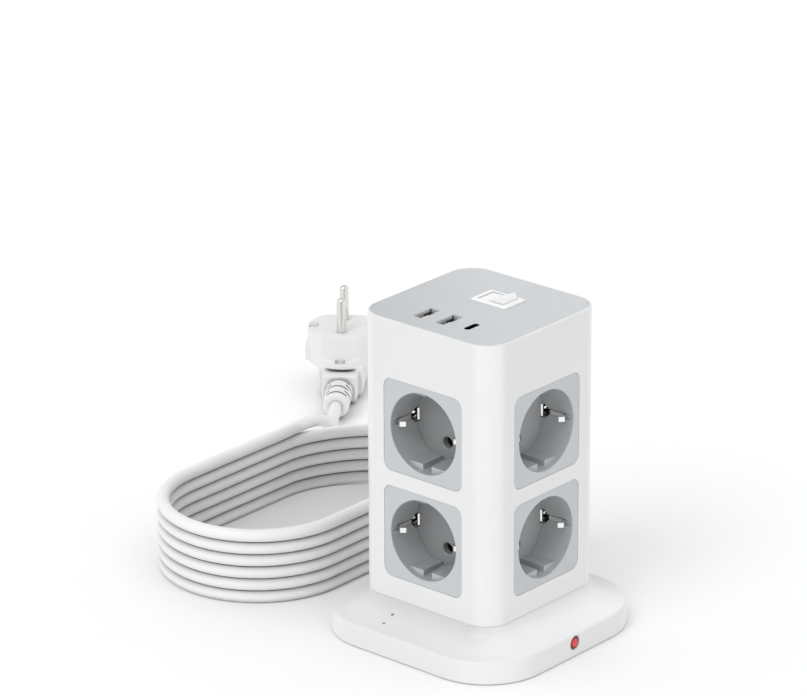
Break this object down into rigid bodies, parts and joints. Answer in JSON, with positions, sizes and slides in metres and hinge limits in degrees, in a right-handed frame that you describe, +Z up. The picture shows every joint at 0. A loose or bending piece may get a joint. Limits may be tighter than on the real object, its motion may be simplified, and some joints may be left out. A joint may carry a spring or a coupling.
{
  "type": "tower surge protector power strip",
  "caption": "White square tower power strip: recessed earthed sockets on all four faces, charging ports and rocker switch on top, flared base with reset button, coiled lead with angled plug.",
  "frame": {"origin": "centre of the base footprint, on the surface it stands on", "axes": "+Z up along the tower, -Y out of the front face on the indicators' side, +X out of the face above the reset button"},
  "size_m": [0.3245, 0.2689, 0.1622],
  "materials": {
    "white_case": "moulded ABS, satin, very fine texture",
    "grey_panel": "moulded, satin light cool grey",
    "socket_grey": "moulded, satin light grey",
    "base_plate_plastic": "moulded, fine texture",
    "contact_brass": "stamped strip",
    "earth_steel": "bright nickel-plated spring steel",
    "circuit_board": "solder-masked glass board",
    "port_steel": "bright stamped steel",
    "port_steel_dark": "blackened stamped steel",
    "black_plastic": "moulded",
    "tongue_grey": "moulded",
    "transformer_tape": "taped winding",
    "switch_white": "glossy moulded",
    "varistor_blue": "epoxy-dipped",
    "ceramic_white": "fired ceramic",
    "foot_rubber": "soft rubber",
    "screw_steel": "zinc-plated",
    "light_pipe_clear": "polished light pipe",
    "reset_red": "glossy moulded",
    "spring_steel": "drawn wire",
    "wire_brown": "PVC insulation",
    "wire_blue": "PVC insulation",
    "wire_green_yellow": "PVC insulation",
    "clamp_plastic": "moulded",
    "cord_pvc": "satin PVC sheath",
    "plug_pvc": "satin moulded PVC",
    "plug_nickel": "nickel-plated brass"
  },
  "bodies": {
    "tower": {"tower_shell": "white_case", "top_panel": "grey_panel", "socket_front_lower": "socket_grey", "socket_front_upper": "socket_grey", "socket_right_lower": "socket_grey", "socket_right_upper": "socket_grey", "socket_back_lower": "socket_grey", "socket_back_upper": "socket_grey", "socket_left_lower": "socket_grey", "socket_left_upper": "socket_grey", "live_strip_front": "contact_brass", "live_strip_right": "contact_brass", "live_strip_back": "contact_brass", "live_strip_left": "contact_brass", "live_link": "contact_brass", "neutral_strip_front": "contact_brass", "neutral_strip_right": "contact_brass", "neutral_strip_back": "contact_brass", "neutral_strip_left": "contact_brass", "neutral_link": "contact_brass", "earth_strip_front": "earth_steel", "earth_strip_right": "earth_steel", "earth_strip_back": "earth_steel", "earth_strip_left": "earth_steel", "earth_link": "earth_steel", "usb_board": "circuit_board", "usb_a_shells": "port_steel", "usb_a_tongues": "tongue_grey", "usb_c_shell": "port_steel_dark", "usb_c_tongue": "black_plastic", "usb_transformer": "transformer_tape", "switch_housing": "switch_white", "switch_terminals": "contact_brass", "surge_board": "circuit_board", "varistors": "varistor_blue", "thermal_fuse": "ceramic_white", "base_cover": "white_case", "base_plate": "base_plate_plastic", "rubber_feet": "foot_rubber", "base_screws": "screw_steel", "tower_screws": "screw_steel", "board_screws": "screw_steel", "indicator_light_pipes": "light_pipe_clear", "indicator_board": "circuit_board", "breaker_body": "black_plastic", "reset_spring": "spring_steel", "line_wires": "wire_brown", "neutral_wire": "wire_blue", "earth_wire": "wire_green_yellow", "cord_clamp": "clamp_plastic", "cord_strain_relief": "cord_pvc", "power_cord_lead": "cord_pvc", "power_cord_coil": "cord_pvc", "power_cord_tail": "cord_pvc", "plug_body": "plug_pvc", "plug_pins": "plug_nickel", "plug_strain_relief": "plug_pvc"},
    "rocker": {"power_rocker": "switch_white"},
    "contact_arm": {"switch_contact_arm": "contact_brass"},
    "reset": {"reset_button": "reset_red"}
  },
  "joints": [
    {"name": "rocker_tilt", "type": "hinge", "parent": "tower", "child": "rocker", "pos_m": [0.0019, 0.0108, 0.1574], "axis": [0, 1, 0], "range_deg": [0, 28]},
    {"name": "contact_tilt", "type": "hinge", "parent": "tower", "child": "contact_arm", "pos_m": [0.0019, 0.0108, 0.1473], "axis": [0, 1, 0], "range_deg": [-17, 0]},
    {"name": "reset_press", "type": "slide", "parent": "tower", "child": "reset", "axis": [-1, 0, 0], "range_m": [-0.0012, 0.001], "stiffness_N_per_m": 200, "deforming": ["reset_spring"]}
  ],
  "couplings": [
    {"joint": "contact_tilt", "follows": "rocker_tilt", "ratio": -0.6}
  ]
}
